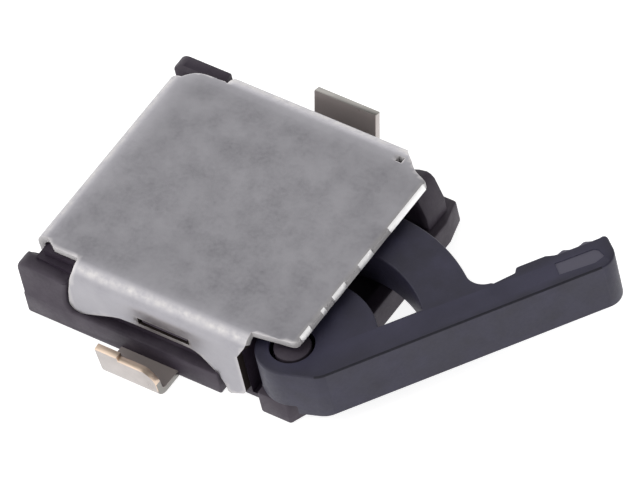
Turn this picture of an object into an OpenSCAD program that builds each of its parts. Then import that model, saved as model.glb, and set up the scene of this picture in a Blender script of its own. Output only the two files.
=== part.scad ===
// Low-profile surface-mount position detection switch with a swinging side lever.
// Millimetres. +X points to the open side that the lever swings out of, +Z is up,
// and the origin is the centre of the base's footprint, on the board.

/* [Base] */
// Length of the moulded base, along X
base_l = 4.1; // [4:0.05:4.6]
// Width of the moulded base, along Y
base_w = 3.6; // [3.5:0.05:4]
// Height of the whole switch above the board
total_h = 1.2; // [1.15:0.05:1.6]
// Thickness of the base's floor
floor_t = 0.2; // [0.16:0.01:0.24]
// Thickness of the base's walls
wall_t = 0.3; // [0.2:0.02:0.34]
// Height of the skirt and sill round the foot of the walls
skirt_h = 0.37; // [0.32:0.01:0.42]
// How far the side walls stand back from the skirt
wall_set = 0.15; // [0.13:0.01:0.18]
// How far the end wall stands back from the skirt
end_set = 0.24; // [0.2:0.02:0.3]
// Height of the near corner post
near_post_h = 0.94; // [0.86:0.02:1.04]
// Height of the far corner post
far_post_h = 1.08; // [0.9:0.02:1.08]
// Length of the corner posts, along X
post_l = 0.68; // [0.6:0.02:0.7]
// Radius of the rounded tops of the posts
post_r = 0.12; // [0.06:0.02:0.16]
// Width of the sill across the open side
sill_t = 0.2; // [0.16:0.02:0.26]
// Width of the latch lugs that hold the cover
lug_l = 0.68; // [0.5:0.02:0.72]

/* [Pivot] */
// Radius of the lever's pivot pin
pin_r = 0.235; // [0.2:0.005:0.24]
// Distance from the pin's centre to the open side of the base
pin_in = 0.24; // [0.24:0.01:0.3]
// Distance from the pin's centre to the near side of the base
pin_side = 0.43; // [0.4:0.01:0.5]
// Running clearance between the pin and the lever's bore, on radius
pin_clear = 0.02; // [0.01:0.005:0.04]

/* [Cover] */
// Thickness of the cover's sheet
sheet_t = 0.1; // [0.08:0.01:0.12]
// Inner radius of the cover's bends
bend_r = 0.08; // [0.05:0.01:0.1]
// Gap between the cover and what it fits over
fit_gap = 0.01; // [0.01:0.005:0.02]
// How far the cover's open edge stands back from the base
front_in = 0.1; // [0.06:0.02:0.2]
// Width of the cover's solder legs
leg_w = 0.32; // [0.26:0.02:0.36]
// Height of the strip under each latch slot, above the board
strip_z = 0.54; // [0.5:0.01:0.56]
// Width of the strip under each latch slot
strip_t = 0.1; // [0.08:0.01:0.12]
// Height of the latch slots
slot_h = 0.11; // [0.1:0.01:0.14]

/* [Lever] */
// Angle of the lever's bar from +X when the lever is free
rest_angle = 54.4; // [50:0.2:58]
// Outer radius of the lever's hub
hub_r = 0.46; // [0.42:0.01:0.48]
// Radius of the web round the hub
web_r = 1.05; // [0.9:0.05:1.2]
// Inner radius of the curved arm
arm_ri = 1.61; // [1.5:0.01:1.66]
// Outer radius of the curved arm
arm_ro = 2.26; // [2.2:0.01:2.32]
// Angle that the curved arm sweeps back from the bar
arm_sweep = 57; // [54:1:58]
// Length of the bar from the pivot to its tip
bar_l = 4; // [3.6:0.1:4.6]
// Distance from the pivot's centre line to the bar's outer face
bar_out = 0.64; // [0.6:0.01:0.7]
// Width of the bar
bar_w = 0.42; // [0.38:0.01:0.46]
// Thickness of the bar's deep outer rib
rib_t = 0.22; // [0.16:0.02:0.26]
// Height of the rib's lower edge above the board
rib_z = 0.25; // [0.15:0.01:0.3]
// Radius where the arm runs into the bar
root_r = 0.25; // [0.15:0.05:0.3]
// Gap between the lever's top and the cover
lever_gap = 0.1; // [0.06:0.01:0.14]
// Gap between the sill and the arm that swings over it
arm_gap = 0.08; // [0.06:0.01:0.1]

/* [Terminals] */
// Thickness of the terminals' sheet
term_t = 0.1; // [0.08:0.01:0.12]
// Width of the near terminal
near_w = 0.85; // [0.7:0.05:0.95]
// Width of the far terminal
far_w = 0.92; // [0.7:0.02:0.96]
// How far each solder foot reaches out of the base
foot_l = 0.41; // [0.35:0.02:0.5]
// Height of the near terminal's upturned lip
near_lip_h = 0.54; // [0.4:0.02:0.6]
// Height of the far terminal's upturned lip
far_lip_h = 0.68; // [0.4:0.02:0.8]
// Lean of the near lip
near_lean = 5; // [0:1:12]
// Lean of the far lip
far_lean = 16; // [0:1:20]

/* [Contact and spring] */
// Thickness of the moving contact's blade
blade_t = 0.05; // [0.04:0.005:0.06]
// Width of each contact finger
finger_w = 0.14; // [0.1:0.01:0.16]
// Thickness of the return spring's wire
wire_d = 0.05; // [0.04:0.005:0.055]
// Turns of the return spring
spring_turns = 4; // [3:1:5]

/* [Hidden] */
$fn = 64;
e = 0.02; // overrun of a cut past a face
big = 10; // longer than the switch

// the height stack, from the board up
cover_z0 = total_h - sheet_t;
lever_z1 = cover_z0 - lever_gap;
hub_z0 = skirt_h + pin_clear;
arm_z0 = skirt_h + arm_gap;
pin_z1 = cover_z0 - lever_gap / 2;

// plan of the base
hl = base_l / 2;
hw = base_w / 2;
near_cut = [0.16, 0.35]; // corner beside the pivot
far_cut = [0.09, 0.35]; // corner beyond the lever
wall_y = hw - wall_set;
wall_x = hl - end_set;
room_y = wall_y - wall_t;
room_x = wall_x - wall_t;

// the pivot
px = hl - pin_in;
py = -hw + pin_side;
swing = 32; // travel of the lever
bore_r = pin_r + pin_clear;
coil_r = pin_r + pin_clear + wire_d / 2;
pocket_r = coil_r + wire_d / 2 + pin_clear;
pocket_z0 = hub_z0 + 0.12;

// the cover, outside
notch_gap = 0.06; // room beside the cover's legs
bend_o = bend_r + sheet_t;
cov_y = wall_y + fit_gap + sheet_t;
cov_x0 = -(wall_x + fit_gap + sheet_t);
cov_x1 = hl - front_in;
fold_y = cov_y - bend_o;
fold_x = cov_x0 + bend_o;
near_ear_l = -hl + post_l + notch_gap / 2; // edge of the near flap, beside its post
far_ear_l = -hl + 0.85; // edge of the far flap, beside its post
near_flare = 0.13; // how far each fold begins inside its flap's edge
far_flare = 0.05;
leg_x1 = px - hub_r - 0.11;
leg_x0 = leg_x1 - leg_w;
slot_z = strip_z + strip_t;
slot_x = [-0.26, 0.5];
slot_mid = (slot_x[0] + slot_x[1]) / 2;

// the lever, in its own frame: x along the bar, -y towards the bar's outer face
bar_in = bar_out - bar_w;
nose_r = bar_out - 0.34;
nose_lead = 0.1; // how far the bar's nose reaches back past the pivot
web_sweep = 86;
grip_s = bar_l - 1.15; // start of the toothed grip
tooth = 0.045;
pitch = 0.26;

// details of the base
near_gap = 0.11; // from the open side to the far post
far_post_x = hl - near_gap - 0.44; // where the far wall drops to its rounded post
far_post_y = wall_y - 0.41;
post_edge = 0.03; // small chamfer along the posts' outer edges
post_top = 0.16; // width of the level part of a post's top
post_fall = 0.22; // drop of a post's top towards the middle of its end
far_corner_r = 0.18;
pad_r = 0.62; // pad that the lever's hub turns on
lug_out = 0.09;

// details of the cover and the lever
hub_edge_x = leg_x1 + 0.13; // where the near fold ends, beside the hub
far_fold_x = hl - 0.43; // where the far fold ends
leg_z = 0.05; // lower end of the cover's legs
ear_z = skirt_h + fit_gap;
end_flap_z = 0.42;
end_flap_near = 0.11; // from the near fold line to the end flap
end_flap_far = 0.23; // from the end flap to the far fold line
end_flap_r = 0.2;
ear_edge_z = [0.73, 0.89]; // bends of each flap's edge beside its post
lead_l = 0.34; // from the strip's sloping lead to the latch slot
leg_root = 0.4;
leg_slant = 0.12; // rise of the leg's slanting end
leg_top_z = 0.88; // where the leg's edge turns out towards the hub
relief_r = 0.04;
tip_r = 0.2;
pad_h = 0.02;

// terminals and contact tracks
near_x = px - 2.01;
far_x = px - 1.77;
foot_bend = 0.06;
lip_step = 0.06;
track_w = 0.2;
common_r = (arm_ri + arm_ro) / 2 - 0.18;
signal_r = common_r + 0.35;
common_y = -0.85; // inner end of the near strip
signal_y = -0.2; // inner end of the far strip
tip_angle = rest_angle + arm_sweep + 10; // contact tips when the lever is free
track_lead = 5; // turn of the lever before the signal finger makes contact
stud_r = 0.06;
stud_l = blade_t + 0.03;
stud_a = [arm_sweep - 12, arm_sweep - 5];
blade_in = 2; // the blade ends this angle short of the arm
blade_l = 16; // angle from the arm's end to the blade's inner end
blade_edge = 0.075; // margin of the arm round the blade

// return spring
coil_bend = 0.04; // radius where the coil turns into its legs
leg_out_r = 0.62;
coil_pitch = 1.2 * wire_d;
coil_z0 = pocket_z0 + wire_d / 2 + fit_gap;
spring_low_angle = rest_angle + web_sweep / 2;
coil_end_angle = 134; // where the coil turns into the pin's slit
slit_z = coil_z0 + coil_pitch * spring_turns - wire_d; // foot of the slit in the pin

// points of an arc, for rounded outlines
function arc(c, r, a0, a1, n = 8) =
    [for (i = [0:n]) let (a = a0 + (a1 - a0) * i / n) c + r * [cos(a), sin(a)]];

module box(x0, x1, y0, y1, z0, z1) {
    translate([x0, y0, z0]) cube([x1 - x0, y1 - y0, z1 - z0]);
}

// a flat outline in x and z, given depth from y0 to y1
module upright(y0, y1) {
    translate([0, y1, 0]) rotate([90, 0, 0]) linear_extrude(y1 - y0) children();
}

// part of a flat ring about the z axis, from angle a0 to a1, less than 180 degrees
module sector(ri, ro, a0, a1, z0, z1) {
    reach = 2 * ro;
    intersection() {
        translate([0, 0, z0]) difference() {
            cylinder(r = ro, h = z1 - z0);
            translate([0, 0, -e]) cylinder(r = ri, h = z1 - z0 + 2 * e);
        }
        translate([0, 0, z0 - e]) linear_extrude(z1 - z0 + 2 * e)
            polygon(concat([[0, 0]], arc([0, 0], reach, a0, a1, 4)));
    }
}

module at_pivot() {
    translate([px, py, 0]) children();
}

module footprint() {
    polygon([
        [-hl, -hw], [hl - near_cut[0], -hw], [hl, -hw + near_cut[1]],
        [hl, hw - far_cut[1]], [hl - far_cut[0], hw], [-hl, hw]
    ]);
}

// corner post at the closed end; its top is rounded at the corner and falls away inwards
module end_post(x1, z1, corner_r) {
    r = end_set;
    intersection() {
        upright(-hw, -room_y) polygon(concat(
            [[x1, 0], [-hl, 0]], arc([-hl + corner_r, z1 - corner_r], corner_r, 180, 90), [[x1, z1]]));
        translate([-hl, 0, 0]) rotate([90, 0, 90]) linear_extrude(x1 + hl) polygon([
            [-room_y, 0], [-hw, 0], [-hw, z1 - post_edge], [-hw + post_edge, z1], [-hw + post_top, z1],
            [-hw + 1.5 * post_top, z1 - 0.3 * post_fall], [-room_y, z1 - post_fall]]);
        linear_extrude(z1) polygon(concat(
            [[-hl, -hw], [x1, -hw], [x1, -room_y], [-wall_x, -room_y]],
            arc([-hl + r, -hw + post_r / 2], r, 90, 180)));
    }
}

// domed post where the far wall meets the open side
module side_post() {
    top = lever_z1;
    x0 = far_post_x - e;
    x1 = hl - near_gap;
    intersection() {
        upright(far_post_y, wall_y) polygon([
            [x0, 0], [x1, 0], [x1, top - 0.4], [x1 - 0.05, top - 0.2], [x1 - 0.08, top - 0.08],
            [x1 - 0.13, top - 0.02], [x1 - 0.19, top], [x0 + 0.15, top - 0.03], [x0, top - 0.1]]);
        translate([x0, 0, 0]) rotate([90, 0, 90]) linear_extrude(x1 - x0) polygon([
            [far_post_y, 0], [wall_y, 0], [wall_y, top - 2 * post_edge], [wall_y - post_edge, top],
            [far_post_y, top]]);
    }
}

// sheet that comes in through the wall and lies flush with the floor inside
module terminal_strip(x, w, in_y) {
    box(x - w / 2, x + w / 2, -hw + term_t - e, in_y, floor_t - term_t, floor_t);
    box(x - w / 2, x + w / 2, -hw, -hw + term_t, 0, floor_t);
}

// solder foot and upturned lip, on the near side
module terminal_foot(x, w, lean, lip_h) {
    r_out = term_t + foot_bend;
    centre = [-hw - foot_l + r_out, r_out];
    outward = [-cos(lean), -sin(lean)];
    upward = [-sin(lean), cos(lean)];
    rise = (lip_h - r_out * (1 - sin(lean))) / cos(lean);
    translate([x - w / 2, 0, 0]) rotate([90, 0, 90]) linear_extrude(w) {
        translate([centre[0], 0]) square([-hw + e - centre[0], term_t]);
        polygon(concat(
            arc(centre, r_out, 270, 180 + lean),
            [centre + r_out * outward + rise * upward, centre + foot_bend * outward + rise * upward],
            arc(centre, foot_bend, 180 + lean, 270)));
    }
}

module common_terminal_solid() {
    difference() {
        terminal_foot(near_x, near_w, near_lean, near_lip_h);
        // the lip is a little lower along most of its top edge
        box(near_x - near_w / 4, near_x + near_w, -hw - big, -hw - term_t, near_lip_h - lip_step, big);
    }
    terminal_strip(near_x, near_w, common_y);
    at_pivot() sector(common_r - track_w / 2, common_r + track_w / 2,
        tip_angle - track_lead, tip_angle + swing + 14, floor_t - term_t, floor_t);
}

module signal_terminal_solid() {
    inner = signal_r - track_w / 2;
    mirror([0, 1, 0]) terminal_foot(far_x, far_w, far_lean, far_lip_h);
    difference() {
        mirror([0, 1, 0]) terminal_strip(far_x, far_w, -signal_y);
        at_pivot() translate([0, 0, -e]) cylinder(r = inner, h = big);
    }
    at_pivot() sector(inner, signal_r + track_w / 2,
        tip_angle + track_lead, tip_angle + swing + track_lead, floor_t - term_t, floor_t);
}

module common_terminal() {
    color([0.86, 0.84, 0.80]) common_terminal_solid();
}

module signal_terminal() {
    color([0.86, 0.84, 0.80]) signal_terminal_solid();
}

// lug on the near wall that the cover's latch slot snaps over
module latch_lug() {
    box(slot_mid - lug_l / 2, slot_mid + lug_l / 2, -wall_y - lug_out, -wall_y + e,
        slot_z + 2 * fit_gap, slot_z + slot_h - 2 * fit_gap);
}

// notch in the skirt for the cover's near leg
module leg_notch() {
    box(leg_x0 - notch_gap, leg_x1 + 3.5 * notch_gap, -hw - e, -wall_y, -e, skirt_h + e);
}

// walls, sill and skirt round an open room
module shell() {
    difference() {
        union() {
            linear_extrude(skirt_h) footprint();
            box(-wall_x, far_post_x, -wall_y, wall_y, 0, cover_z0 - bend_r);
            // the walls' tops step in, clear of the cover's bends
            box(-wall_x + bend_r, far_post_x, -wall_y + bend_r, wall_y - bend_r, 0, cover_z0);
            box(far_post_x - e, hl - near_gap, far_post_y, wall_y, 0, skirt_h + e);
        }
        box(-room_x, hl - sill_t, -room_y, room_y, floor_t, big);
        box(hl - sill_t - e, big, -big, room_y, skirt_h, big);
        // the near wall stops short of the lever's hub
        box(leg_x1, big, -big, room_y, skirt_h, big);
    }
}

module base() {
    color([0.13, 0.12, 0.12]) difference() {
        union() {
            shell();
            end_post(near_ear_l - notch_gap / 2, near_post_h, post_r);
            mirror([0, 1, 0]) end_post(far_ear_l - notch_gap, far_post_h, far_corner_r);
            side_post();
            intersection() {
                at_pivot() cylinder(r = pad_r, h = skirt_h);
                linear_extrude(skirt_h) footprint();
            }
            at_pivot() cylinder(r = pin_r, h = pin_z1);
            latch_lug();
            mirror([0, 1, 0]) latch_lug();
        }
        leg_notch();
        mirror([0, 1, 0]) leg_notch();
        // slit that holds the spring's upper end
        at_pivot() rotate(coil_end_angle) translate([0, coil_bend - wire_d / 2 - fit_gap, slit_z])
            cube([pin_r + e, wire_d + 2 * fit_gap, big]);
        common_terminal_solid();
        signal_terminal_solid();
    }
}

// section of the folded sheet: a top strip, a right-angle bend and a flap down to z = low
module fold_section(edge, low) {
    centre = [edge - bend_o, total_h - bend_o];
    translate([centre[0] - bend_o, cover_z0]) square([bend_o, sheet_t]);
    polygon(concat(arc(centre, bend_o, 90, 0, 10), arc(centre, bend_r, 0, 90, 10)));
    translate([edge - sheet_t, low]) square([sheet_t, centre[1] - low]);
}

// outline of a side flap in x and z, from its ear to its solder leg
module flap_outline(left, right, flare, ear) {
    polygon(concat(
        [[left + flare, total_h + e], [left + flare, cover_z0],
            [left + 0.6 * flare, ear_edge_z[1]], [left + 0.25 * flare, ear_edge_z[0]]],
        arc([left + ear, ear_z + ear], ear, 180, 290),
        [[slot_x[0] - lead_l, strip_z], [leg_x0 - leg_root - e, strip_z]],
        arc([leg_x0 - leg_root, strip_z - leg_root / 2], leg_root / 2, 90, 32),
        [[leg_x0 - notch_gap + fit_gap, skirt_h + fit_gap], [leg_x0, leg_z + e], [leg_x0 + 2 * e, leg_z],
            [leg_x1 - 2 * e, leg_z + leg_slant / 2],
            [leg_x1, leg_z + leg_slant], [leg_x1, leg_top_z], [right, cover_z0], [right, total_h + e]]));
}

module side_fold(left, right, flare, ear) {
    intersection() {
        translate([-hl, 0, 0]) rotate([90, 0, 90]) linear_extrude(base_l) fold_section(cov_y, 0);
        upright(-big, big) flap_outline(left, right, flare, ear);
    }
}

// outline of the cover's flat top from above, with its clipped corners
module plate_outline() {
    far_l = far_ear_l + far_flare;
    polygon([
        [hub_edge_x, -fold_y], [hub_edge_x + 0.04, -fold_y + 0.05], [cov_x1 - 0.06, -fold_y + 0.12],
        [cov_x1, -fold_y + 0.18],
        [cov_x1, fold_y - 0.33], [cov_x1 - 0.02, fold_y - 0.25], [cov_x1 - 0.09, fold_y - 0.19],
        [cov_x1 - 0.2, fold_y - 0.16], [cov_x1 - 0.29, fold_y - 0.05], [far_fold_x, fold_y],
        [far_l, fold_y], [far_l - 0.15, fold_y - 0.03], [fold_x + 0.16, fold_y - 0.02],
        [fold_x + 0.07, fold_y - 0.15], [fold_x, fold_y - end_flap_far],
        [fold_x, -fold_y + end_flap_near], [fold_x + 0.04, -fold_y]]);
}

// the flap that folds down over the closed end
module end_fold() {
    near = -fold_y + end_flap_near;
    far = fold_y - end_flap_far;
    mirror([1, 0, 0]) intersection() {
        upright(near, far) fold_section(-cov_x0, end_flap_z);
        rotate([90, 0, 90]) linear_extrude(big) polygon(concat(
            arc([near + end_flap_r, end_flap_z + end_flap_r], end_flap_r, 180, 270),
            arc([far - end_flap_r, end_flap_z + end_flap_r], end_flap_r, 270, 360),
            [[far, total_h + e], [near, total_h + e]]));
    }
}

module cover() {
    color([0.56, 0.55, 0.57]) difference() {
        union() {
            translate([0, 0, cover_z0]) linear_extrude(sheet_t) plate_outline();
            mirror([0, 1, 0]) side_fold(near_ear_l, hub_edge_x, near_flare, 0.14);
            side_fold(far_ear_l, far_fold_x, far_flare, 0.1);
            end_fold();
        }
        // the end flap's near corner is clipped
        translate([cov_x0, -fold_y + end_flap_near, -e]) linear_extrude(big)
            polygon([[-e, -e], [0.07, -e], [0, 0.08], [-e, 0.08]]);
        // latch slots
        box(slot_x[0], slot_x[1], -big, big, slot_z, slot_z + slot_h);
        // the far fold's end is trimmed slantwise, with a relief hole beside the trim
        translate([far_fold_x, fold_y - e, -e]) linear_extrude(big)
            polygon([[0.04, 0], [-0.26, 0.2], [-0.26, 1], [1, 1], [1, 0]]);
        translate([far_fold_x - 0.12, fold_y - 0.06, cover_z0 - e]) cylinder(r = relief_r, h = bend_o);
    }
}

// fills the crease between the hub and the bar's rounded nose
module nose_fill() {
    centre = [nose_r - nose_lead, -bar_out + nose_r];
    a = atan2(centre[1], centre[0]) - acos((hub_r - nose_r) / norm(centre));
    tangent = [cos(a), sin(a)];
    polygon([[0, 0], hub_r * tangent, centre + nose_r * tangent, centre]);
}

// outline of the bar from above, rounded at the nose beside the hub and at the tip
module bar_outline() {
    grip_y = -bar_in + 0.08;
    polygon(concat(
        arc([nose_r - nose_lead, -bar_out + nose_r], nose_r, 180, 270),
        arc([bar_l - tip_r, -bar_out + tip_r], tip_r, 270, 360),
        arc([bar_l - 0.06, grip_y - tooth - 0.06], 0.06, 0, 90, 4),
        [for (k = [0:2], end = [0, 1]) [bar_l - 0.09 - pitch * k - 0.06 * end, grip_y - tooth * end]],
        [[grip_s, grip_y], [grip_s - 0.03, -bar_in + 0.01], [grip_s - 0.3, -bar_in], [0, -bar_in]]));
}

module lever() {
    root_x = sqrt(pow(arm_ro + root_r, 2) - pow(-bar_in + root_r, 2));
    color([0.15, 0.16, 0.2]) at_pivot() rotate(rest_angle) difference() {
        union() {
            translate([0, 0, hub_z0]) cylinder(r = hub_r, h = lever_z1 - hub_z0);
            translate([0, 0, hub_z0]) linear_extrude(lever_z1 - hub_z0) nose_fill();
            sector(bore_r + e, web_r, -36, web_sweep, arm_z0, lever_z1);
            sector(arm_ri, arm_ro, -12, arm_sweep, arm_z0, lever_z1);
            translate([0, 0, arm_z0]) linear_extrude(lever_z1 - arm_z0) bar_outline();
            intersection() {
                translate([0, 0, rib_z]) linear_extrude(arm_z0 - rib_z + e) bar_outline();
                box(-big, big, -bar_out - e, -bar_out + rib_t, 0, big);
            }
            // root fillet between the arm and the bar
            difference() {
                box(arm_ro - 0.1, root_x, -bar_in - e, -bar_in + root_r, arm_z0, lever_z1);
                translate([root_x, -bar_in + root_r, 0]) cylinder(r = root_r, h = big);
            }
            // studs that hold the moving contact
            for (a = stud_a) rotate(a) translate([(arm_ri + arm_ro) / 2, 0, 0]) {
                translate([0, 0, arm_z0 - stud_l]) cylinder(r = stud_r, h = stud_l + e);
                translate([0, 0, arm_z0 - stud_l]) cylinder(r = 1.5 * stud_r, h = e);
            }
        }
        cylinder(r = bore_r, h = big);
        translate([0, 0, pocket_z0]) cylinder(r = pocket_r, h = big);
        // slot for the spring's lower leg
        rotate(spring_low_angle - rest_angle) translate([0, -coil_bend - wire_d, pocket_z0])
            cube([leg_out_r + coil_bend + e, 2 * wire_d, wire_d + 2 * fit_gap]);
        // shallow pad on the tip
        translate([0, 0, lever_z1 - pad_h]) linear_extrude(big) polygon([
            [bar_l - 0.72, -0.31], [bar_l - 0.73, -0.5], [bar_l - 0.28, -0.53], [bar_l - 0.14, -0.48],
            [bar_l - 0.17, -0.36], [bar_l - 0.22, -0.32]]);
    }
}

// centre line of the spring about the pivot: lower leg, coil, upper leg into the pin's slit
function turn_at(r, a, z) = [r * cos(a), r * sin(a), z];
function spring_path() = let (
    a0 = spring_low_angle,
    a1 = coil_end_angle + 360 * spring_turns,
    z1 = coil_z0 + coil_pitch * (a1 - a0) / 360,
    side0 = [-sin(a0), cos(a0), 0],
    out0 = [cos(a0), sin(a0), 0],
    side1 = [-sin(a1), cos(a1), 0],
    out1 = [cos(a1), sin(a1), 0],
    c0 = turn_at(coil_r + coil_bend, a0, coil_z0),
    c1 = turn_at(coil_r - coil_bend, a1, z1)
) concat(
    [c0 - coil_bend * side0 + (leg_out_r - coil_r) * out0],
    [for (i = [0:4]) c0 - coil_bend * (cos(i * 22.5) * side0 + sin(i * 22.5) * out0)],
    [for (a = [a0 + 20:20:a1 - 10]) turn_at(coil_r, a, coil_z0 + coil_pitch * (a - a0) / 360)],
    [for (i = [0:4]) c1 + coil_bend * (cos(i * 22.5) * out1 + sin(i * 22.5) * side1)],
    [c1 + coil_bend * side1 - 0.1 * out1]);

module return_spring() {
    p = spring_path();
    n = len(p);
    sides = 6;
    rim = [for (k = [0:sides - 1]) wire_d / 2 * [cos(k * 360 / sides), sin(k * 360 / sides)]];
    color([0.6, 0.58, 0.54]) at_pivot() polyhedron(
        points = [for (i = [0:n - 1]) let (
            t = p[min(i + 1, n - 1)] - p[max(i - 1, 0)],
            across = cross(t, [0, 0, 1]) / norm(cross(t, [0, 0, 1])),
            up = cross(across, t) / norm(t)
        ) for (q = rim) p[i] + q[0] * across + q[1] * up],
        faces = concat(
            [[for (k = [0:sides - 1]) k]],
            [for (i = [0:n - 2], k = [0:sides - 1]) let (j = (k + 1) % sides)
                [i * sides + k, (i + 1) * sides + k, (i + 1) * sides + j, i * sides + j]],
            [[for (k = [sides - 1:-1:0]) (n - 1) * sides + k]]));
}

// a finger's side view: it leaves the blade at -half and presses down on the floor at half
module finger_outline(half, top) {
    low = floor_t + fit_gap;
    polygon([
        [-half - 0.05, top], [-half - 0.05, top - blade_t + fit_gap], [-half, top - blade_t + fit_gap],
        [half - 0.07, low], [half, low], [half + 0.06, low + 0.06],
        [half + 0.03, low + 0.06 + blade_t / 2], [half - 0.02, low + blade_t],
        [half - 0.05, low + blade_t], [-half + 0.02, top]]);
}

// blade under the arm, with one finger for each track
module moving_contact() {
    top = arm_z0 - fit_gap;
    a_end = arm_sweep - blade_in;
    a_tip = tip_angle - rest_angle;
    a_mid = (a_end + a_tip) / 2;
    color([0.8, 0.68, 0.42]) at_pivot() rotate(rest_angle) difference() {
        union() {
            sector(arm_ri + blade_edge, arm_ro - blade_edge, arm_sweep - blade_l, a_end,
                top - blade_t + fit_gap, top);
            for (r = [common_r, signal_r]) rotate(a_mid) translate([r - finger_w / 2, 0, 0])
                rotate([90, 0, 90]) linear_extrude(finger_w)
                    finger_outline(r * tan(a_tip - a_mid), top);
        }
        for (a = stud_a) rotate(a) translate([(arm_ri + arm_ro) / 2, 0, 0])
            cylinder(r = stud_r + fit_gap / 2, h = big);
    }
}

base();
common_terminal();
signal_terminal();
cover();
lever();
return_spring();
moving_contact();
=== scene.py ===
from functools import partial
from math import acos, atan2, cos, degrees, hypot, pi, radians, sin, sqrt, tan

import bmesh
import bpy
from mathutils import Matrix, Vector


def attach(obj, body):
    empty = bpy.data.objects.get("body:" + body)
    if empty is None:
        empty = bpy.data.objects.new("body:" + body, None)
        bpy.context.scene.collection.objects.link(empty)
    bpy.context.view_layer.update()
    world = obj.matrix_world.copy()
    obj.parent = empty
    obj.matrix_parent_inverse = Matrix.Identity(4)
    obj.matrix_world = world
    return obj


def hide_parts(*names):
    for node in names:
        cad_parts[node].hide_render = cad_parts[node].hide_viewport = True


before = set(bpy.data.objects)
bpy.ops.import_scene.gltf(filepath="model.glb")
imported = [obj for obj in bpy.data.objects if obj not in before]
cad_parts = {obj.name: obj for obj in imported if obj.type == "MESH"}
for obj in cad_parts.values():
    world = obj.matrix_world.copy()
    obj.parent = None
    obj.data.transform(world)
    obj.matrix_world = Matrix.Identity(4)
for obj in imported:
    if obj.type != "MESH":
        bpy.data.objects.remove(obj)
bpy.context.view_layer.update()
print("frame loaded:", sorted(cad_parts))

# Every piece is made in millimetres and becomes metres when it is finished. Until then, three
# stand-in materials mark its faces: edgeMark is a rounded edge and sheetMark a cut sheet's rim.
marks = [bpy.data.materials.new(name) for name in ("mark0", "mark1", "mark2")]
edgeMark, sheetMark = 1, 2


def arcPoints(centre, radius, start, end, count=12):
    turn = [radians(start + (end - start) * i / count) for i in range(count + 1)]
    return [(centre[0] + radius * cos(a), centre[1] + radius * sin(a)) for a in turn]


def newObject(name, mesh):
    made = bpy.data.objects.new(name, mesh)
    bpy.context.scene.collection.objects.link(made)
    return made


def fromBmesh(name, bm):
    mesh = bpy.data.meshes.new(name)
    bm.to_mesh(mesh)
    bm.free()
    return coat(newObject(name, mesh), *marks)


def coat(thing, *materials):
    thing.data.materials.clear()
    for material in materials:
        thing.data.materials.append(material)
    return thing


def modify(thing, kind, **settings):
    modifier = thing.modifiers.new(kind, kind)
    for key, value in settings.items():
        setattr(modifier, key, value)


# closed outline, without points that fall on the one before
def cleanOutline(points, gap):
    return [p for i, p in enumerate(points)
            if hypot(p[0] - points[i - 1][0], p[1] - points[i - 1][1]) > gap]


# The outline's points are x, y for axis z, x, z for axis y and y, z for axis x.
def prism(points, low, high, axis="z"):
    place = {
        "z": lambda p, h: (p[0], p[1], h),
        "y": lambda p, h: (p[0], h, p[1]),
        "x": lambda p, h: (h, p[0], p[1]),
    }[axis]
    clean = cleanOutline(points, 1e-5)
    bm = bmesh.new()
    bottom = [bm.verts.new(place(p, low)) for p in clean]
    top = [bm.verts.new(place(p, high)) for p in clean]
    bm.faces.new(bottom)
    bm.faces.new(top)
    for i in range(len(clean)):
        bm.faces.new((bottom[i - 1], bottom[i], top[i], top[i - 1]))
    bmesh.ops.recalc_face_normals(bm, faces=bm.faces)
    return fromBmesh("prism", bm)


def block(x0, x1, y0, y1, z0, z1):
    return prism([(x0, y0), (x1, y0), (x1, y1), (x0, y1)], z0, z1)


def disc(centre, radius, low, high, count=64):
    return prism(arcPoints(centre, radius, 0, 360 * (1 - 1 / count), count - 1), low, high)


def ringSector(inner, outer, start, end, low, high, count=48):
    outline = arcPoints((0, 0), outer, start, end, count)
    outline += arcPoints((0, 0), inner, end, start, count)
    return prism(outline, low, high)


def evaluatedMesh(thing):
    bpy.context.view_layer.update()
    graph = bpy.context.evaluated_depsgraph_get()
    graph.update()
    return bpy.data.meshes.new_from_object(thing.evaluated_get(graph))


# The evaluated mesh takes the place of the object's modifiers.
def bake(thing):
    mesh = evaluatedMesh(thing)
    thing.modifiers.clear()
    thing.data = mesh
    return thing


def combine(thing, tools, operation):
    for tool in tools:
        modify(thing, "BOOLEAN", operation=operation, solver="EXACT", object=tool)
    bake(thing)
    for tool in tools:
        bpy.data.objects.remove(tool)
    return tidyMesh(thing)


def unite(thing, *tools):
    return combine(thing, tools, "UNION")


def cut(thing, *tools):
    return combine(thing, tools, "DIFFERENCE")


def keepInside(thing, *tools):
    return combine(thing, tools, "INTERSECT")


# Joins points closer than gap, closes small holes and merges faces that lie flat to each other.
def tidyMesh(thing, gap=0.0015):
    bm = bmesh.new()
    bm.from_mesh(thing.data)
    bmesh.ops.remove_doubles(bm, verts=bm.verts, dist=gap)
    bmesh.ops.holes_fill(bm, edges=[e for e in bm.edges if e.is_boundary], sides=6)
    bmesh.ops.dissolve_limit(
        bm, angle_limit=radians(0.8), verts=bm.verts, edges=bm.edges, delimit={"MATERIAL"})
    bmesh.ops.recalc_face_normals(bm, faces=bm.faces)
    bm.to_mesh(thing.data)
    bm.free()
    return thing


# Mirrors a near side piece to the far side.
def flip(thing):
    thing.data.transform(Matrix.Scale(-1, 4, (0, 1, 0)))
    thing.data.flip_normals()
    return thing


def move(thing, matrix):
    thing.data.transform(matrix)
    return thing


def roundEdges(thing, width, segments=2, angle=32, clamp=True):
    modify(thing, "BEVEL", width=width, segments=segments, limit_method="ANGLE",
           angle_limit=radians(angle), use_clamp_overlap=clamp, material=edgeMark)
    return bake(thing)


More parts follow.
